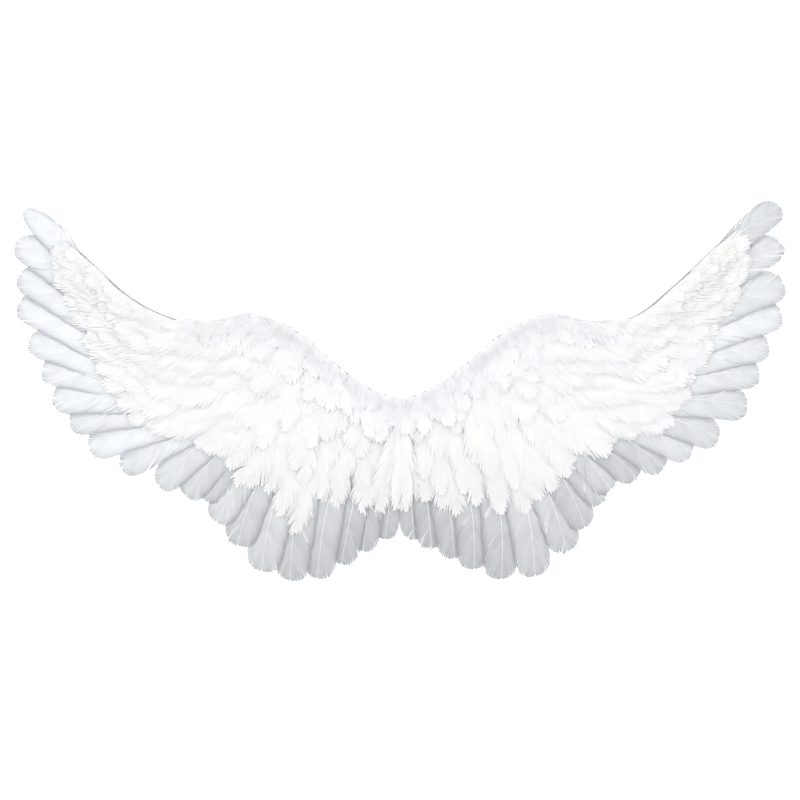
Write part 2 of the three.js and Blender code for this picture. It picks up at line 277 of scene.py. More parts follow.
def normals_to(points):
    along = np.gradient(points, axis=0)
    along /= np.linalg.norm(along, axis=1, keepdims=True)
    return np.stack([-along[:, 1], along[:, 0]], 1)


def felt_sheet():
    """The felt from its front to its rear face, slightly wavy and drawn in along the sewn lines."""
    rng = np.random.default_rng(11)
    edge = both_wings("edge", FELT_COLUMNS)
    hem = both_wings("hem", FELT_COLUMNS)
    top = edge - normals_to(edge) * EDGE_INSET
    cut = hem + rng.normal(0, HEM_ROUGHNESS, hem.shape)
    beside = [line + step for line in SEWN_LINES for step in ROWS_BESIDE]
    share = np.unique(np.concatenate([np.linspace(0, 1, FELT_ROWS), beside]))[:, None, None]
    plane = top * (1 - share) + cut * share
    x, z = plane[..., 0], plane[..., 1]
    wave = WAVE_HEIGHT * np.sin(x * 71 + z * 40) * np.sin(z * 83 - x * 23) * np.sin(np.pi * share[..., 0])
    pucker = sum(np.exp(-(((share[..., 0] - line) / PUCKER_WIDTH) ** 2)) for line in SEWN_LINES)
    pucker = PUCKER_DEPTH * pucker * (0.8 + 0.2 * np.sin(x * 420) * np.sin(x * 133 + z * 90))
    front = swept(plane, -0.0002 + np.minimum(wave, 0)).reshape(-1, 3)
    rear = swept(plane, -FELT_THICKNESS + 0.0002 + pucker - wave * 0.5).reshape(-1, 3)
    rows = len(share)
    sheet = grid_faces(rows, FELT_COLUMNS)
    total = len(front)
    order = np.arange(total).reshape(rows, FELT_COLUMNS)
    rim = np.concatenate([order[0, :-1], order[:-1, -1], order[-1, :0:-1], order[:0:-1, 0]])
    ahead = np.roll(rim, -1)
    behind = ahead + total
    walls = np.vstack([np.stack([rim, rim + total, behind], 1), np.stack([rim, behind, ahead], 1)])
    corners = np.vstack([front, rear])
    faces = np.vstack([outward(front, sheet), sheet + total, walls])
    uv = corners[:, [0, 2]]
    return {"corners": corners, "faces": faces, "uv": uv, "marks": {}}


felt_material, felt, tree = new_material("needle felt", {"Roughness": 0.95, "Sheen Weight": 0.25})
spot = tree.node("ShaderNodeTexCoord", {}, {}, out=3)
fibres = spot.scaled(1, 1, 2.4).noise(900, 3, 0.7)
clouds = spot.noise(26, 2)
feed(felt, "Base Color", (fibres * 0.7 + clouds * 0.3).mixed((0.42, 0.42, 0.41), (0.83, 0.83, 0.82)))
feed(felt, "Normal", bumped(fibres + spot.noise(260, 2) * 0.6, 0.7, 0.0009))

felt_piece = joined("felt_backing", [felt_sheet()])
bpy.ops.object.select_all(action="DESELECT")
felt_piece.select_set(True)
bpy.context.view_layer.objects.active = felt_piece
bpy.ops.object.mode_set(mode="EDIT")
bpy.ops.mesh.select_all(action="SELECT")
bpy.ops.mesh.normals_make_consistent(inside=False)
bpy.ops.object.mode_set(mode="OBJECT")
finished(felt_piece, felt_material, ["backing"])


def tube_walls(rings, sides):
    """Triangles of a tube's wall, from rings of corners that follow each other."""
    a = np.arange(rings - 1)[:, None] * sides
    i = np.arange(sides)
    j = (i + 1) % sides
    return np.vstack([
        np.stack([a + i, a + j, a + j + sides], -1).reshape(-1, 3),
        np.stack([a + i, a + j + sides, a + i + sides], -1).reshape(-1, 3),
    ])


def strands(paths, radius, taper, tone, marks=None):
    """Thin three-sided strands along paths, all with the same number of points, each closed at both ends."""
    count, points, _ = paths.shape
    along = np.gradient(paths, axis=1)
    along /= np.maximum(np.linalg.norm(along, axis=2, keepdims=True), 1e-9)
    beside = np.cross(along, [0.0, 1.0, 0.0])
    beside /= np.maximum(np.linalg.norm(beside, axis=2, keepdims=True), 1e-9)
    above = np.cross(beside, along)
    angle = np.radians([90, 210, 330])
    size = (np.reshape(radius, (-1, 1)) * np.asarray(taper))[..., None, None]
    ring = np.cos(angle)[:, None] * beside[:, :, None] + np.sin(angle)[:, None] * above[:, :, None]
    corners = (paths[:, :, None] + size * ring).reshape(-1, 3)
    last = 3 * (points - 1)
    single = np.vstack([tube_walls(points, 3), [[0, 2, 1], [last, last + 1, last + 2]]])
    single = outward(corners[: points * 3], single)
    faces = (np.arange(count)[:, None, None] * points * 3 + single).reshape(-1, 3)
    reach = np.tile(np.repeat(np.linspace(0, 1, points), 3), count)
    uv = np.stack([np.repeat(np.arange(count) / max(1, count), points * 3), reach], 1)
    tones = np.repeat(np.broadcast_to(tone, count), points * 3)
    return {"corners": corners, "faces": faces, "uv": uv, "marks": {"tone": tones, **(marks or {})}}


def stitches(line, spacing, length, depth, radius):
    """Short loops of thread along a line of the wing plane, lying on the felt at that depth."""
    lengths = np.concatenate([[0], np.cumsum(np.linalg.norm(np.diff(line, axis=0), axis=1))])
    starts = np.arange(0, lengths[-1] - length, spacing)
    share = np.linspace(0, 1, 4)
    stops = starts[:, None] + share * length
    plane = np.stack([np.interp(stops, lengths, line[:, i]) for i in range(2)], -1)
    rise = np.array([0.4, -1.0, -1.0, 0.4]) * radius
    return strands(swept(plane, depth + rise), np.full(len(starts), radius), [1, 1, 1, 1], 0.5)


STITCH_SPACING = 0.0064
STITCH_LENGTH = 0.0044
STITCH_DEPTH = 0.0009 - FELT_THICKNESS
THREAD_RADIUS = 0.0005


def sewn_lines():
    """The lines of stitches that hold the rows of quills and the hem, sunk in the rear of the felt."""
    edge, hem = both_wings("edge", 500), both_wings("hem", 500)
    lines = [edge * (1 - share) + hem * share for share in SEWN_LINES]
    return [stitches(line, STITCH_SPACING, STITCH_LENGTH, STITCH_DEPTH, THREAD_RADIUS) for line in lines]


thread_material, thread, tree = new_material("sewing thread", {"Roughness": 0.6, "Sheen Weight": 0.2})
twist = tree.node("ShaderNodeTexCoord", {}, {}, out=3).noise(2600, 2)
feed(thread, "Base Color", twist.mixed((0.6, 0.6, 0.59), (0.82, 0.82, 0.81)))
feed(thread, "Normal", bumped(twist, 0.3, 0.0002))
sewing = joined("row_stitches", sewn_lines())
finished(sewing, thread_material, [])


# Frame wire: a springy steel wire along the whole leading edge, bound with tape wound on at a slant,
# each turn lapping the one before. The tape's grey is painted shade, for the shadow along the wire, and each
# turn is painted darker where it comes out from under the one before.

WIRE_RADIUS = 0.00125
TAPE_PITCH = 0.0075
WIRE_STATIONS = 760
WIRE_SIDES = 8


def bound_wire():
    edge = both_wings("edge", WIRE_STATIONS)
    normals = normals_to(edge)
    run = np.concatenate([[0], np.cumsum(np.linalg.norm(np.diff(edge, axis=0), axis=1))])
    angle = np.linspace(0, 2 * np.pi, WIRE_SIDES, endpoint=False)
    turn = (run[:, None] / TAPE_PITCH + angle / (2 * np.pi)) % 1
    radius = WIRE_RADIUS * (0.93 + 0.16 * turn)
    plane = edge[:, None] + normals[:, None] * (radius * np.cos(angle))[..., None]
    depth = -FELT_THICKNESS / 2 + radius * np.sin(angle)
    corners = swept(plane, depth).reshape(-1, 3)
    n = WIRE_SIDES
    walls = tube_walls(WIRE_STATIONS, n)
    fan = np.stack([np.zeros(n - 2, int), np.arange(2, n), np.arange(1, n - 1)], 1)
    end = (WIRE_STATIONS - 1) * n
    faces = outward(corners, np.vstack([walls, fan, fan[:, ::-1] + end]))
    uv = np.stack([np.repeat(run, n), np.tile(angle, WIRE_STATIONS)], 1)
    # The share of each turn goes to the tape's material, which paints shade where a turn comes out from
    # under the one before.
    return {"corners": corners, "faces": faces, "uv": uv, "marks": {"tone": turn.ravel()}}


tape_material, tape, tree = new_material("binding tape", {"Roughness": 0.7})
lap_shade = tree.node("ShaderNodeAttribute", {"attribute_name": "tone"}, {}, out=2)
crepe = tree.node("ShaderNodeTexCoord", {}, {}, out=3).noise(1800, 2)
# Painted shade: the tape is painted grey, for the shadow along the wire, and darker at the start of each
# turn, where it comes out from under the one before.
feed(tape, "Base Color", (lap_shade * 0.7 + crepe * 0.3).mixed((0.34, 0.34, 0.35), (0.66, 0.66, 0.67)))
feed(tape, "Normal", bumped(crepe, 0.4, 0.0003))
finished(joined("bound_wire", [bound_wire()]), tape_material, ["frame_wire"], smooth=60)


# Flight feathers: 21 white goose quills a wing, sewn on the felt side by side, each over the next inner
# one. A feather is a horny shaft with a vane on either side, and the vane parts here and there into locks
# of barbs, so its edge is slightly ragged.

FLIGHT_HALF_WIDTH = 0.025
FLIGHT_VANE = [(0, 0.1), (0.1, 0.42), (0.22, 0.84), (0.42, 0.97), (0.66, 1), (0.86, 0.99), (0.95, 0.78),
               (0.987, 0.48), (1, 0.06)]
TIP_VANE = [(0, 0.1), (0.1, 0.26), (0.22, 0.62), (0.42, 0.93), (0.66, 1), (0.83, 0.86), (0.93, 0.6),
            (0.983, 0.36), (1, 0.05)]
FLIGHTS = [
    # right tip out and up, left tip out and up, width
    (0.988, 0.988, 0.99, 0.948, 0.74),
    (0.991, 0.83, 0.999, 0.838, 0.86),
    (0.999, 0.66, 0.993, 0.7, 0.92),
    (0.993, 0.536, 0.996, 0.579, 0.94),
    (0.962, 0.396, 0.97, 0.421, 0.85),
    (0.938, 0.281, 0.938, 0.298, 0.86),
    (0.907, 0.136, 0.91, 0.17, 0.9),
    (0.834, 0.0, 0.868, 0.07, 0.86),
    (0.765, -0.097, 0.818, -0.062, 0.92),
    (0.692, -0.204, 0.734, -0.208, 0.84),
    (0.621, -0.278, 0.637, -0.333, 0.84),
    (0.553, -0.361, 0.566, -0.403, 0.86),
    (0.53, -0.45, 0.518, -0.43, 0.78),
    (0.485, -0.625, 0.485, -0.587, 0.86),
    (0.438, -0.792, 0.43, -0.75, 0.92),
    (0.354, -0.965, 0.367, -0.931, 0.96),
    (0.265, -0.986, 0.291, -0.998, 0.9),
    (0.194, -0.917, 0.22, -0.982, 0.84),
    (0.142, -0.84, 0.157, -0.882, 0.8),
    (0.081, -0.771, 0.1, -0.792, 0.72),
    (0.034, -0.708, 0.042, -0.708, 0.62),
]
FLIGHT_LOOK = {
    "tilt": 0.075, "seat": 0.055, "bend": 0.42, "bow": 0.0045, "offset": 0.2, "camber": 0.1, "from": 0.1,
    "locks": 44, "steps": 5, "ridge": 0.00028, "rag": 0.012, "wisps": 0.0, "ends": (0.5, 0.9),
    "splits": 1.3, "gape": 0.0014, "quill": 0.0008, "stations": 14, "slant": (1.2, 1.9),
}


def feather(root, tip, half, side, vane, depth, rng, look, tone):
    """One feather as closed forms: the locks of barbs of both vanes, and the shaft."""
    length = np.linalg.norm(tip - root)
    along = (tip - root) / length
    across = side * np.array([-along[1], along[0]])
    outline = smooth_line(np.array(vane) * [length, half])(np.linspace(0, len(vane) - 1, 240))
    outline[:, 1] = np.maximum(outline[:, 1], 0)
    arc = np.concatenate([[0], np.cumsum(np.linalg.norm(np.diff(outline, axis=0), axis=1))])
    arc /= arc[-1]

    def width(u):
        return np.interp(u, outline[:, 0], outline[:, 1])

    def shaft_line(u):
        return look["offset"] * half * np.sin(np.pi * np.clip(u / length, 0, 1) ** 0.8)

    def laid(u, v, lift=0.0):
        """Corners in the row frame: u along the feather, v across it."""
        free = np.maximum(0, u - look["seat"])
        rise = depth + look["tilt"] * (width(np.minimum(u, length)) - v) - free**2 / (2 * look["bend"])
        rise = rise - look["camber"] * v**2 / half + look.get("curl", 0) * (u / length) ** 3 + lift
        bow = look["bow"] * np.sin(np.pi * np.clip(u / length, 0, 1))
        plane = root + u[..., None] * along + (v + bow)[..., None] * across
        return swept(combed(plane, look["past"]) if "past" in look else plane, rise)

    forms = []
    n = look["locks"]
    q = np.linspace(0, 1, look["steps"] + 1)
    for vane_side in (1, -1):
        marks = np.linspace(look["from"], 1, n + 1)
        marks[1:-1] += rng.uniform(-0.3, 0.3, n - 1) * (1 - look["from"]) / n
        end = np.stack([np.interp(marks, arc, outline[:, i]) for i in range(2)], 1)
        slant = np.linspace(*look["slant"], n + 1)
        base = np.maximum.accumulate(np.clip(end[:, 0] - end[:, 1] * slant, 0.02 * length, 0.972 * length))
        base += np.linspace(0, 0.006, n + 1) * length
        starts = np.stack([base, shaft_line(base)], 1)
        end[:, 1] *= vane_side
        centre_start, centre_end = (starts[1:] + starts[:-1]) / 2, (end[1:] + end[:-1]) / 2
        order = np.arange(n)
        shift = rng.normal(0, look["rag"] * 0.5 * half, n)
        for _ in range(rng.poisson(look["splits"])):
            at = rng.integers(int(n * 0.3), n)
            shift += look["gape"] * np.sign(order - at + 0.5) * np.exp(-np.abs(order - at + 0.5) / 3.5)
        stretch = 0.988 + rng.normal(0, look["rag"], n)
        stretch += np.where(rng.random(n) < look["wisps"], rng.uniform(0.03, 0.16, n), 0)
        narrow = rng.uniform(*look["ends"], n)
        lift = rng.normal(0, look["ridge"] * 0.7, n)
        lines = []
        for s, e in ((starts[:-1], end[:-1]), (centre_start, centre_end), (starts[1:], end[1:])):
            e = s + (e - s) * stretch[:, None]
            e[:, 0] += shift
            bend = np.stack([s[:, 0] + 0.36 * (e[:, 0] - s[:, 0]), s[:, 1] + 0.6 * (e[:, 1] - s[:, 1])], 1)
            t = q[None, :, None]
            lines.append((1 - t) ** 2 * s[:, None] + 2 * t * (1 - t) * bend[:, None] + t**2 * e[:, None])
        low, middle, high = lines
        full = 1.03 - (1.03 - narrow[:, None, None]) * np.clip((q[None, :, None] - 0.72) / 0.28, 0, 1) ** 1.6
        low, high = middle + (low - middle) * full, middle + (high - middle) * full
        rows = np.stack([low, middle, high], 2)
        crest = np.array([0, 1, 0]) * look["ridge"] * (1 - 0.7 * q[:, None])
        raised = crest + lift[:, None, None] * q[:, None]
        corners = laid(rows[..., 0], rows[..., 1], raised).reshape(-1, 3)
        last = 3 * look["steps"]
        each = last + 3
        single = np.vstack([tube_walls(len(q), 3), [[0, 2, 1], [last, last + 1, last + 2]]])
        single = outward(corners[:each], single)
        faces = (order[:, None, None] * each + single).reshape(-1, 3)
        middle_u = (order[:, None] + np.array([0, 0.5, 1])) / n
        uv = np.stack([
            np.broadcast_to(middle_u[:, None, :], (n, len(q), 3)).ravel(),
            np.broadcast_to(q[None, :, None], (n, len(q), 3)).ravel(),
        ], 1)
        forms.append({"corners": corners, "faces": faces, "uv": uv, "marks": {"tone": tone, "shaft": 0.0}})
    u = np.linspace(0, 0.985 * length, look["stations"])
    path = laid(u, shaft_line(u), look["ridge"] + 0.0002)
    thick = np.interp(u / length, [0, 0.25, 1], [1, 0.8, 0.28])
    shaft = strands(path[None], [look["quill"]], thick, tone, {"shaft": 1.0})
    forms.append(shaft)
    return forms


# Painted shade for the vanes' edges: the shadow of the neighbouring feather and a dark outline along the
# edge.
RIM_SHADE_COLOUR = (0.3, 0.31, 0.34)


def feather_material(name, dark, light, shaft_colour, streaks, rim, through, constants, tints=None):
    """Feather: fine barbs along the vane, each feather of its own tone, with a paler shaft. Each is painted
    lighter towards its root, as painted light against the shade that the feathers above cast there, and
    greyer towards its tip. Its darker rim is painted shade, for the shadow of the neighbouring feather and a
    dark outline along the edge. The vane lets part of the light through. Tints are a pale cast in broad
    patches and one low on the wings, which makes them greyer towards the bottom."""
    material, shader, tree = new_material(name, constants)
    uv = tree.node("ShaderNodeUVMap", {"uv_map": "along_barbs"}, {})
    tone = tree.node("ShaderNodeAttribute", {"attribute_name": "tone"}, {}, out=2)
    shaft = tree.node("ShaderNodeAttribute", {"attribute_name": "shaft"}, {}, out=2)
    barbs = uv.scaled(150, 2.5, 1).noise(1.0, 3, 0.65)
    bands = uv.scaled(14, 0.8, 1).noise(1.0, 2, 0.5)
    # Painted shade: the vane is painted darker towards its edge, for the shadow of the neighbouring feather
    # and a dark outline along the edge.
    edge = tree.node("ShaderNodeSeparateXYZ", {}, {"Vector": uv}, out=1) ** 6 * rim
    along = tree.node("ShaderNodeSeparateXYZ", {}, {"Vector": uv})
    # Painted light: along runs from root to tip, so each feather is painted lighter at its root, where the
    # feathers above shade it, and greyer at its tip.
    shade = tone * 0.7 + (bands - 0.5) * 0.5 + (barbs - 0.5) * streaks - along * 0.45 + 0.49
    colour = edge.mixed(shade.clamped().mixed(dark, light), RIM_SHADE_COLOUR)
    if tints:
        spot = tree.node("ShaderNodeTexCoord", {}, {}, out=3)
        height = tree.node("ShaderNodeSeparateXYZ", {}, {"Vector": spot}, out=2)
        cream, lilac, greyer_low = tints
        patch = spot.noise(14, 2)
        colour = ((patch - 0.56) * 5).clamped().mixed(colour, cream)
        colour = ((0.44 - patch) * 5).clamped().mixed(colour, lilac)
        # Below the centre line the feathers are made greyer towards the bottom.
        colour = ((0.0 - height) * 8).clamped().mixed(colour, greyer_low)
    feed(shader, "Base Color", shaft.mixed(colour, shaft_colour))
    feed(shader, "Normal", bumped(barbs, 0.3, 0.0004))
    share, colour_behind = through
    behind = tree.node("ShaderNodeBsdfTranslucent", {}, {"Color": (*colour_behind, 1)})
    front = Shade(tree.tree, shader.outputs[0])
    whole = tree.node("ShaderNodeMixShader", {}, {0: share, 1: front, 2: behind})
    tree.tree.links.new(whole.socket, tree.tree.nodes["Material Output"].inputs["Surface"])
    return material


flight_material = feather_material(
    "goose flight feather", (0.46, 0.47, 0.48), (0.89, 0.908, 0.93), (0.97, 0.975, 0.97), 0.45, 0.8,
    (0.25, (0.78, 0.81, 0.84)), {"Roughness": 0.5, "Sheen Weight": 0.1},
)


def flight_feather(index, side, rng):
    right_out, right_up, left_out, left_up, share = FLIGHTS[index]
    section = LAST_SECTION * index / (len(FLIGHTS) - 1)
    root = line_along("root", side)(section)
    tip = place(right_out, right_up, side) if side > 0 else place(left_out, left_up, side)
    tone = np.clip((1.3 - 0.07 * index, 0.93 - 0.06 * index)[side > 0] + rng.normal(0, 0.1), 0, 1)
    look = dict(FLIGHT_LOOK, camber=rng.uniform(0.05, 0.1), offset=rng.uniform(0.08, 0.3))
    look["bow"] *= 1 - 1.5 * (index / (len(FLIGHTS) - 1)) ** 4
    vane = FLIGHT_VANE
    if index == 0 and side > 0:
        tone = 0.45
    elif index == 0:
        share, vane = share * 0.92, TIP_VANE
        tip = tip + [0.004, 0.006]
    level = CLEARANCE + (0.0008 if index == len(FLIGHTS) - 1 and side > 0 else 0)
    return feather(root, tip, FLIGHT_HALF_WIDTH * share, side, vane, level, rng, look, tone)


for wing, side in SIDES.items():
    for index in range(len(FLIGHTS)):
        number = f"{wing}_{index + 1:02d}"
        rng = np.random.default_rng(100 + 50 * (side > 0) + index)
        plume = joined(f"flight_plume_{number}", flight_feather(index, side, rng))
        finished(plume, flight_material, [f"flight_feather_{number}"])


# Coverts: soft white goose feathers in overlapping rows over the quills, from the wire down. Their vanes
# are open at the edges and fray into fine barbs. Each group of rows is sewn on by its own tape.

COVERT_HALF_WIDTH = 0.019
COVERT_VANE = [(0, 0.2), (0.18, 0.62), (0.4, 0.92), (0.66, 1), (0.85, 0.8), (0.96, 0.44), (1, 0.08)]
COVERT_LOOK = {
    "tilt": 0.05, "seat": 0.03, "bend": 1.1, "bow": 0.002, "offset": 0.0, "camber": 0.1, "from": 0.28,
    "locks": 18, "steps": 3, "ridge": 0.00016, "rag": 0.03, "wisps": 0.3, "ends": (0.25, 0.75),
    "splits": 1.6, "gape": 0.0012, "quill": 0.0004, "stations": 8, "slant": (1.2, 2.2), "past": -0.0015,
}
ROW_STEP = 0.0017
FRINGE_STARTS = {1: 8.4, -1: 6.3}
FRINGE_LOOK = {"ends": (0.12, 0.6), "rag": 0.05, "splits": 3, "wisps": 0.45, "gape": 0.0018}
# how far the ends of a row stray from its reach: spread, least and most
ROW_STRAY = (0.03, -0.05, 0.07)
FRINGE_STRAY = (0.07, -0.1, 0.1)
# loose barbs of a feather, and how far they stand out as a share of its half width
FRINGE_BARBS = (50, 1.8)
LOWEST_BARBS = (38, 1.7)
COVERT_BARBS = (22, 1.0)
COVERT_GROUPS = {
    # depth of the group, then its rows: reach, length, width share, count, first and last section
    "greater_coverts": (0.0058, [(1.0, 0.08, 1.06, 29, 0.05, 9.95), (0.86, 0.08, 1.02, 28, 0.1, 9.95)]),
    "median_coverts": (0.0093, [(0.72, 0.074, 1.02, 28, 0.3, 9.95), (0.57, 0.07, 1.0, 27, 0.5, 9.95)]),
    "lesser_coverts": (0.0128, [(0.43, 0.062, 1.05, 29, 0.9, 9.95), (0.3, 0.056, 1.05, 29, 1.1, 9.95)]),
}


def leading_edge():
    """The wire from wing tip to wing tip, carried on a little past both of its ends."""
    line = both_wings("edge", 800)
    beyond = [line[0] + 10 * (line[0] - line[8]), line[-1] + 10 * (line[-1] - line[-9])]
    return np.vstack([beyond[:1], line, beyond[1:]])


LEADING_EDGE = leading_edge()


def combed(plane, past):
    """Points of the wing plane, with those too far over the wire pressed back to it."""
    limit = np.interp(plane[..., 0], LEADING_EDGE[:, 0], LEADING_EDGE[:, 1]) + past
    over = np.maximum(0, plane[..., 1] - limit)
    return np.stack([plane[..., 0], plane[..., 1] - 0.88 * over], -1)


def frayed_barbs(root, tip, half, side, depth, rng, look, tone, count, wisp=1.1):
    """Loose barbs that stand out round the end of a soft feather."""
    length = np.linalg.norm(tip - root)
    along = (tip - root) / length
    across = side * np.array([-along[1], along[0]])
    side_of = rng.uniform(-1, 1, count)
    start_u = length * (0.97 - 0.5 * np.abs(side_of) ** 1.3 - rng.uniform(0, 0.2, count))
    start_v = half * side_of * 0.7
    reach = half * (0.35 + (wisp - 0.35) * rng.random(count) ** 1.5)
    angle = side_of * np.radians(34) + rng.normal(0, 0.16, count)
    t = np.linspace(0, 1, 4)
    curve = angle[:, None] + rng.normal(0, 0.35, count)[:, None] * t
    u = start_u[:, None] + reach[:, None] * t * np.cos(curve)
    v = start_v[:, None] + reach[:, None] * t * np.sin(curve)
    lift = rng.uniform(0.0, 0.0014, count)[:, None] * t**1.5
    plane = combed(root + u[..., None] * along + v[..., None] * across, look["past"])
    rise = depth + look["tilt"] * (half - v) - look["camber"] * v**2 / half + 0.0004 + lift
    rise = rise - np.maximum(0, u - look["seat"]) ** 2 / (2 * look["bend"])
    rise = rise + look.get("curl", 0) * (u / length) ** 3
    return strands(swept(plane, rise), rng.uniform(0.00008, 0.00015, count), [1, 0.9, 0.6, 0.12], tone,
                   {"shaft": 0.0})


def covert_rows(group, side, rng):
    depth, rows = COVERT_GROUPS[group]
    edge, reach_line = line_along("edge", side), line_along("reach", side)
    forms = []
    for number, (reach, length, share, count, first, last) in enumerate(rows):
        for i in range(count):
            section = first + (last - first) * (i + rng.uniform(-0.24, 0.24)) / (count - 1)
            section = float(np.clip(section, first, last))
            fringe = reach == 1.0 and section > FRINGE_STARTS[side]
            spread, least, most = FRINGE_STRAY if fringe else ROW_STRAY
            at = reach + np.clip(rng.normal(0, spread), least, most)
            tip = edge(section) * (1 - at) + reach_line(section) * at
            flow = flow_at(section, side, rng.normal(0, 5))
            long = length * np.interp(section, [0, 2, 5, 8], [0.62, 1, 1, 1.2])
            root = tip - flow * long * rng.uniform(0.92, 1.08)
            slim = np.interp(section, [0, 2, 5, 8], [0.8, 1, 1, 0.88])
            half = COVERT_HALF_WIDTH * share * slim * rng.uniform(0.85, 1.05)
            level = (depth + number * ROW_STEP) * np.interp(section, [0, 2.5], [0.8, 1])
            level += rng.uniform(0, 0.0007)
            tone = np.clip(rng.normal(0.55, 0.22), 0, 1)
            look = dict(COVERT_LOOK, camber=rng.uniform(0.02, 0.14), curl=rng.uniform(-0.002, 0.002))
            look["tilt"] *= rng.uniform(0.75, 1.15)
            look["past"] -= 0.0012 * (1 + math.sin(7.3 * i))
            if fringe:
                look.update(FRINGE_LOOK)
            forms += feather(root, tip, half, side, COVERT_VANE, level, rng, look, tone)
            loose, wisp = LOWEST_BARBS if reach == 1.0 else COVERT_BARBS
            if fringe:
                loose, wisp = FRINGE_BARBS
            forms.append(frayed_barbs(root, tip, half, side, level, rng, look, tone, loose, wisp))
    return forms


covert_material = feather_material(
    "soft white covert", (0.92, 0.918, 0.928), (0.987, 0.986, 0.99), (0.97, 0.97, 0.97), 0.35, 0.05,
    (0.36, (0.98, 0.977, 0.977)), {"Roughness": 0.75, "Sheen Weight": 0.2},
    [(0.975, 0.965, 0.94), (0.955, 0.953, 0.98), (0.89, 0.885, 0.885)],
)

for seed, group in enumerate(COVERT_GROUPS):
    for wing, side in SIDES.items():
        rng = np.random.default_rng(300 + 10 * seed + (side > 0))
        rows = joined(f"{group.split('_')[0]}_covert_feathers_{wing}", covert_rows(group, side, rng))
        finished(rows, covert_material, [f"{group}_{wing}"])


# Marginal coverts: small feathers along the outer wing, over the roots of the uppermost row. They are
# glued on the felt below the wire, long and short by turns.

MARGIN_VANE = [(0, 0.3), (0.25, 0.8), (0.55, 1), (0.82, 0.86), (0.95, 0.5), (1, 0.1)]
MARGIN_ROWS = [(0.044, 0.0125, 25, 0.0165), (0.034, 0.011, 23, 0.0175)]
MARGIN_FIRST = 1.1
MARGIN_SECTIONS = 3.9
TUFT_BARBS = 20


def marginal_feathers(side, rng):
    edge = line_along("edge", side)
    forms = []
    for number, (length, half, count, level) in enumerate(MARGIN_ROWS):
        for i in range(count):
            section = MARGIN_FIRST + MARGIN_SECTIONS * (i + 0.5 * number) / count
            flow = flow_at(section, side, rng.normal(0, 7))
            root = edge(section) + flow * 0.0022
            tip = root + flow * length * rng.uniform(0.8, 1.05)
            look = dict(COVERT_LOOK, locks=14, camber=0.08, curl=rng.uniform(-0.001, 0.002), seat=0.02)
            look["past"] = -0.0012 - 0.0012 * (1 + math.sin(5.1 * i))
            tone = np.clip(rng.normal(0.55, 0.2), 0, 1)
            low = np.interp(section, [1.1, 1.8, 3.9], [0.6, 1, 1]) * level - 0.0006
            wide = half * rng.uniform(0.85, 1.05)
            forms += feather(root, tip, wide, side, MARGIN_VANE, low, rng, look, tone)
            forms.append(frayed_barbs(root, tip, half, side, low, rng, look, tone, TUFT_BARBS))
    return forms


for wing, side in SIDES.items():
    rng = np.random.default_rng(400 + (side > 0))
    trim = joined(f"marginal_feathers_{wing}", marginal_feathers(side, rng))
    finished(trim, covert_material, [f"marginal_coverts_{wing}"])


# Down trim: fluffy turkey down over the shoulder, from the bend of the wing to the centre line. The tufts
# are glued behind the wire, stand a few millimetres past it and fall over the lesser coverts.

DOWN_VANE = [(0, 0.35), (0.2, 0.8), (0.5, 1), (0.8, 0.9), (0.95, 0.55), (1, 0.12)]
DOWN_ROWS = [(0.056, 0.0135, 30, 0.0172), (0.044, 0.0125, 30, 0.0182), (0.032, 0.0115, 30, 0.0192)]
DOWN_FIRST = 3.6
DOWN_SECTIONS = 6.38
DOWN_LOOK = dict(
    COVERT_LOOK, locks=11, rag=0.08, ends=(0.2, 0.7), camber=0.1, seat=0.02, stations=5, past=0.005,
    quill=0.00025,
)
DOWN_TUFTS = 56
DOWN_STRANDS = 14
TUFT_FIRST = 3.7
TUFT_SECTIONS = 6.27
TUFT_PAST = 0.0055


def down_feathers(side, rng):
    edge = line_along("edge", side)
    forms = []
    for number, (length, half, count, level) in enumerate(DOWN_ROWS):
        for i in range(count):
            section = DOWN_FIRST + DOWN_SECTIONS * (i + rng.uniform(0.2, 0.8)) / count
            flow = flow_at(section, side, rng.normal(0, 11))
            root = edge(section) - flow * 0.002
            tip = root + flow * length * rng.uniform(0.7, 1.15)
            look = dict(DOWN_LOOK, curl=rng.uniform(-0.001, 0.0015))
            tone = np.clip(rng.normal(0.65, 0.2), 0, 1)
            low = level + rng.uniform(0, 0.0006) - 0.001
            wide = half * rng.uniform(0.85, 1.1)
            forms += feather(root, tip, wide, side, DOWN_VANE, low, rng, look, tone)
            forms.append(frayed_barbs(root, tip, half, side, low, rng, look, tone, TUFT_BARBS))
    return forms


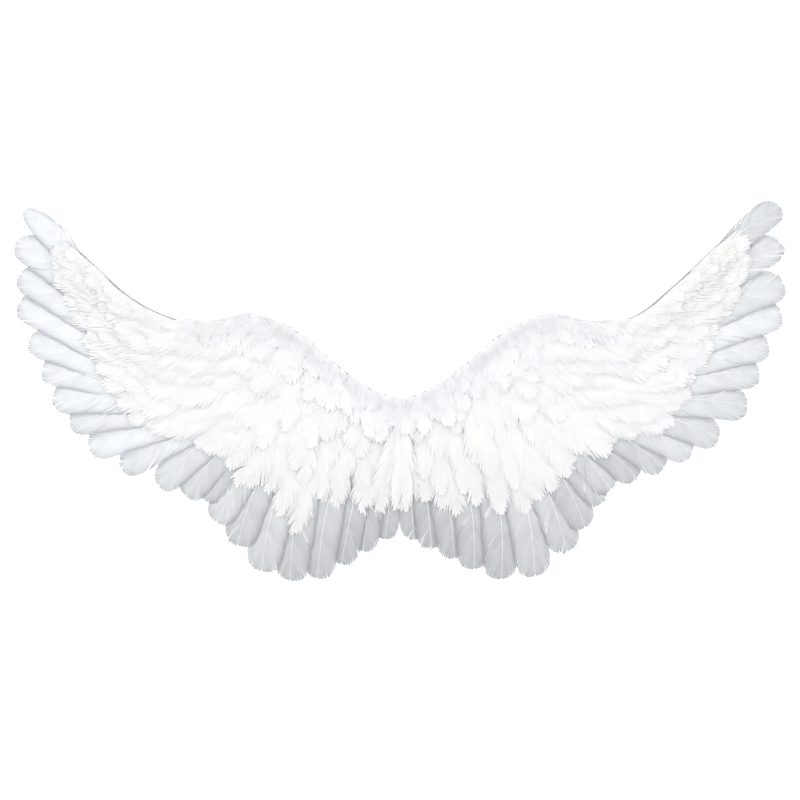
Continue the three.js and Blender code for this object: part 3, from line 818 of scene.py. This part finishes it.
def down_tufts(side, rng):
    edge = line_along("edge", side)
    paths, sizes, tones = [], [], []
    t = np.linspace(0, 1, 6)
    for i in range(DOWN_TUFTS):
        section = TUFT_FIRST + TUFT_SECTIONS * (i + rng.uniform(0.1, 0.9)) / DOWN_TUFTS
        flow = flow_at(section, side, rng.normal(0, 9))
        beside = np.array([-flow[1], flow[0]])
        length = rng.uniform(0.02, 0.04)
        fan = rng.normal(0, 0.5, DOWN_STRANDS)
        back = rng.uniform(-0.0055, 0.002, DOWN_STRANDS)
        origin = edge(section) + beside * rng.normal(0, 0.006, DOWN_STRANDS)[:, None] + flow * back[:, None]
        reach = length * rng.uniform(0.55, 1.05, DOWN_STRANDS) - back
        heading = fan[:, None] + rng.normal(0, 0.6, DOWN_STRANDS)[:, None] * t
        step = reach[:, None] / (len(t) - 1)
        u = np.concatenate([np.zeros((DOWN_STRANDS, 1)), np.cumsum(step * np.cos(heading[:, 1:]), 1)], 1)
        v = np.concatenate([np.zeros((DOWN_STRANDS, 1)), np.cumsum(step * np.sin(heading[:, 1:]), 1)], 1)
        plane = combed(origin[:, None] + u[..., None] * flow + v[..., None] * beside, TUFT_PAST)
        crown = rng.uniform(0.0195, 0.0225, DOWN_STRANDS)[:, None]
        start = rng.uniform(0.0, 0.012, DOWN_STRANDS)[:, None]
        rise = start + (crown - start) * np.clip(t * 2.6, 0, 1) ** 0.6 - 0.0015 * t**2
        paths.append(swept(plane, rise))
        sizes.append(rng.uniform(0.00012, 0.00024, DOWN_STRANDS))
        tones.append(np.clip(rng.normal(0.6, 0.15, DOWN_STRANDS), 0, 1))
    taper = [0.8, 1, 1, 0.85, 0.55, 0.12]
    return [strands(np.vstack(paths), np.concatenate(sizes), taper, np.concatenate(tones), {"shaft": 0.0})]


down_material = feather_material(
    "turkey down", (0.94, 0.94, 0.965), (0.98, 0.98, 0.99), (0.97, 0.97, 0.98), 0.2, 0.0,
    (0.35, (0.98, 0.98, 0.99)), {"Roughness": 0.9, "Sheen Weight": 0.2},
)
for wing, side in SIDES.items():
    rng = np.random.default_rng(500 + (side > 0))
    tufts = joined(f"down_tufts_{wing}", down_feathers(side, rng) + down_tufts(side, rng))
    finished(tufts, down_material, [f"down_trim_{wing}"], smooth=60)


# Centre fan: narrow feathers on the centre line that hide where the rows of both wings meet. They spread
# from one point under the down, and their ends fray into separate barbs.

FAN_VANE = [(0, 0.3), (0.2, 0.6), (0.5, 0.9), (0.72, 1), (0.9, 0.66), (1, 0.1)]
FAN_TURNS = [-16, 14, -10, 9, -5, 4, 0]
FAN_LOOK = dict(COVERT_LOOK, rag=0.09, splits=4, tilt=0.03, slant=(1.8, 3.0), curl=-0.007, ends=(0.1, 0.5))
FAN_LENGTHS = (0.1, 0.138)
FAN_HALF_WIDTH = 0.0115
FAN_LEVEL = 0.014
FAN_BARBS = (44, 2.4)


def fan_feathers(rng):
    forms = []
    for i, turn in enumerate(FAN_TURNS):
        angle = math.radians(turn + rng.normal(0, 2))
        along = np.array([math.sin(angle), -math.cos(angle)])
        root = place(0, 0.12, 1) + rng.normal(0, 0.004, 2)
        tip = root + along * rng.uniform(*FAN_LENGTHS) * math.cos(angle)
        tone = np.clip(rng.normal(0.5, 0.2), 0, 1)
        level = FAN_LEVEL + 0.0003 * i
        half = FAN_HALF_WIDTH * rng.uniform(0.75, 1.1)
        forms += feather(root, tip, half, 1, FAN_VANE, level, rng, FAN_LOOK, tone)
        forms.append(frayed_barbs(root, tip, half, 1, level, rng, FAN_LOOK, tone, *FAN_BARBS))
    return forms


fan_material = feather_material(
    "soft centre feather", (0.905, 0.907, 0.91), (0.975, 0.979, 0.98), (0.97, 0.97, 0.97), 0.4, 0.05,
    (0.36, (0.965, 0.975, 0.98)), {"Roughness": 0.75, "Sheen Weight": 0.2},
)
fan = joined("centre_feathers", fan_feathers(np.random.default_rng(600)))
finished(fan, fan_material, ["centre_fan"])


# Shoulder loops: two loops of flat white woven elastic that the arms go through. Both ends lie flat on the
# rear of the felt under a boxed cross of stitches. The weave shows as fine lengthwise ribs.

ELASTIC_WIDTH = 0.02
ELASTIC_THICKNESS = 0.0015
LOOP_SPACING = 0.104
LOOP_TOP = 0.046
LOOP_FOOT = -0.05
LOOP_REACH = 0.096
LOOP_TAB = 0.016
LOOP_COURSE = [(0.06, 1), (0.5, 1.04), (0.93, 0.62), (1, 0.16), (0.8, -0.26), (0.4, -0.24), (0.06, 0)]
RIBS = 9
CROSS_INSET = 0.0022
CROSS_STITCH = 0.0024
CROSS_THREAD = 0.00036
LOOP_STATIONS = 110


def loop_route():
    lie = CLEARANCE + ELASTIC_THICKNESS / 2
    bulge = LOOP_REACH - ELASTIC_THICKNESS / 2 - lie
    drop = LOOP_TOP - LOOP_FOOT
    points = [(lie, LOOP_TOP - LOOP_TAB), (lie, LOOP_TOP - LOOP_TAB / 2)]
    points += [(lie + out * bulge, LOOP_FOOT + up * drop) for out, up in LOOP_COURSE]
    points += [(lie, LOOP_FOOT + LOOP_TAB / 2), (lie, LOOP_FOOT + LOOP_TAB)]
    line = smooth_line(points)(np.linspace(0, len(points) - 1, 2000))
    run = np.concatenate([[0], np.cumsum(np.linalg.norm(np.diff(line, axis=0), axis=1))])
    stops = np.linspace(0, run[-1], LOOP_STATIONS)
    return np.stack([np.interp(stops, run, line[:, i]) for i in range(2)], 1), stops


def elastic_band(side):
    route, run = loop_route()
    along = np.gradient(route, axis=0)
    along /= np.linalg.norm(along, axis=1, keepdims=True)
    normal = np.stack([-along[:, 1], along[:, 0]], 1)
    per_rib = 2
    span = np.linspace(-0.5, 0.5, RIBS * per_rib + 1)
    rib = np.abs(np.sin(np.pi * (span + 0.5) * RIBS)) ** 0.7
    half = ELASTIC_THICKNESS / 2 * (0.8 + 0.2 * rib) * np.where(np.abs(span) > 0.49, 0.55, 1)
    across = np.concatenate([span, span[::-1]]) * ELASTIC_WIDTH
    thick = np.concatenate([half, -half[::-1]])
    x = side * LOOP_SPACING / 2 + across
    ring = route[:, None] + normal[:, None] * thick[None, :, None]
    corners = np.stack([np.broadcast_to(x, ring.shape[:2]), ring[..., 0], ring[..., 1]], -1)
    n = len(x)
    corners = corners.reshape(-1, 3)
    walls = tube_walls(LOOP_STATIONS, n)
    half_n = n // 2
    k = np.arange(half_n - 1)
    cap = np.vstack([np.stack([k, k + 1, n - 2 - k], 1), np.stack([k, n - 2 - k, n - 1 - k], 1)])
    end = (LOOP_STATIONS - 1) * n
    faces = outward(corners, np.vstack([walls, cap[:, ::-1], cap + end]))
    uv = np.stack([np.tile(across, LOOP_STATIONS), np.repeat(run, n)], 1)
    return {"corners": corners, "faces": faces, "uv": uv, "marks": {}}


def boxed_cross(side, foot, top):
    """Stitches through an end of the elastic: a box and the cross inside it."""
    x = side * LOOP_SPACING / 2
    w = ELASTIC_WIDTH / 2 - CROSS_INSET
    box = [(x - w, foot), (x + w, foot), (x + w, top), (x - w, top), (x - w, foot), (x + w, top)]
    lines = [box[:5], [box[0], box[2]], [box[1], box[3]]]
    forms = []
    for corners in lines:
        for a, b in zip(corners, corners[1:]):
            a, b = np.array(a), np.array(b)
            count = max(2, round(np.linalg.norm(b - a) / CROSS_STITCH))
            for s in range(count):
                p, q = a + (b - a) * (s + 0.12) / count, a + (b - a) * (s + 0.8) / count
                share = np.linspace(0, 1, 4)[:, None]
                plane = p + (q - p) * share
                lie = CLEARANCE + ELASTIC_THICKNESS + np.array([-0.0002, 0.0003, 0.0003, -0.0002])
                path = np.stack([plane[:, 0], lie, plane[:, 1]], 1)
                forms.append(strands(path[None], [CROSS_THREAD], [1, 1, 1, 1], 0.5))
    return forms


elastic_material, elastic, tree = new_material("woven elastic", {"Roughness": 0.8, "Sheen Weight": 0.15})
uv = tree.node("ShaderNodeUVMap", {"uv_map": "along_barbs"}, {})
cover = uv.scaled(1400, 2600, 1).noise(1.0, 2)
picks = {"Vector": uv, "Scale": 260.0, "Distortion": 0.4}
ladder = uv.node("ShaderNodeTexWave", {"bands_direction": "Y"}, picks)
feed(elastic, "Base Color", (cover * 0.6 + ladder * 0.3).mixed((0.48, 0.48, 0.475), (0.8, 0.8, 0.79)))
feed(elastic, "Normal", bumped(ladder + cover * 0.5, 0.4, 0.0003))
for wing, side in SIDES.items():
    band = joined(f"elastic_loop_{wing}", [elastic_band(side)])
    finished(band, elastic_material, [f"shoulder_loop_{wing}"])
    sewn = boxed_cross(side, LOOP_TOP - LOOP_TAB + 0.0012, LOOP_TOP - 0.004)
    sewn += boxed_cross(side, LOOP_FOOT + 0.004, LOOP_FOOT + LOOP_TAB - 0.0012)
    finished(joined(f"loop_stitches_{wing}", sewn), thread_material, [])


# Studio: a plain pale floor well below the wings, even white light from all round, and one broad soft
# light from the upper left that gives the feathers their form.

FLOOR_HEIGHT = -0.9
SKY_STRENGTH = 1.2
LIGHTS = [
    # name, place, size, power
    ("key", (-1.4, -2.6, 2.6), 2.0, 26),
    ("fill", (2.4, -2.4, 0.8), 2.4, 8),
]
CAMERA_PLACE = (-0.001, -5.85, 0.05)
LENS = 200

bpy.ops.mesh.primitive_plane_add(size=9, location=(0, 0, FLOOR_HEIGHT))
floor = bpy.context.object
floor.name = "floor"
floor_material, shader, tree = new_material("pale floor", {"Roughness": 0.9})
grain = tree.node("ShaderNodeTexCoord", {}, {}, out=3).noise(3, 2)
feed(shader, "Base Color", grain.mixed((0.93, 0.93, 0.93), (0.95, 0.95, 0.95)))
floor.data.materials.append(floor_material)

world = bpy.data.worlds.new("studio")
world.use_nodes = True
world.node_tree.nodes["Background"].inputs["Color"].default_value = (1, 1, 1, 1)
world.node_tree.nodes["Background"].inputs["Strength"].default_value = SKY_STRENGTH
bpy.context.scene.world = world
bpy.context.scene.view_settings.view_transform = "Standard"

for name, place_at, size, power in LIGHTS:
    light = bpy.data.lights.new(name, "AREA")
    light.size = size
    light.energy = power
    lamp = bpy.data.objects.new(name, light)
    lamp.location = place_at
    lamp.rotation_euler = (-lamp.location).to_track_quat("-Z", "Y").to_euler()
    bpy.context.collection.objects.link(lamp)

camera = bpy.data.objects.new("camera", bpy.data.cameras.new("camera"))
camera.data.lens = LENS
camera.data.sensor_width = 36
camera.location = CAMERA_PLACE
camera.rotation_euler = (math.radians(90), 0, 0)
bpy.context.collection.objects.link(camera)
bpy.context.scene.camera = camera
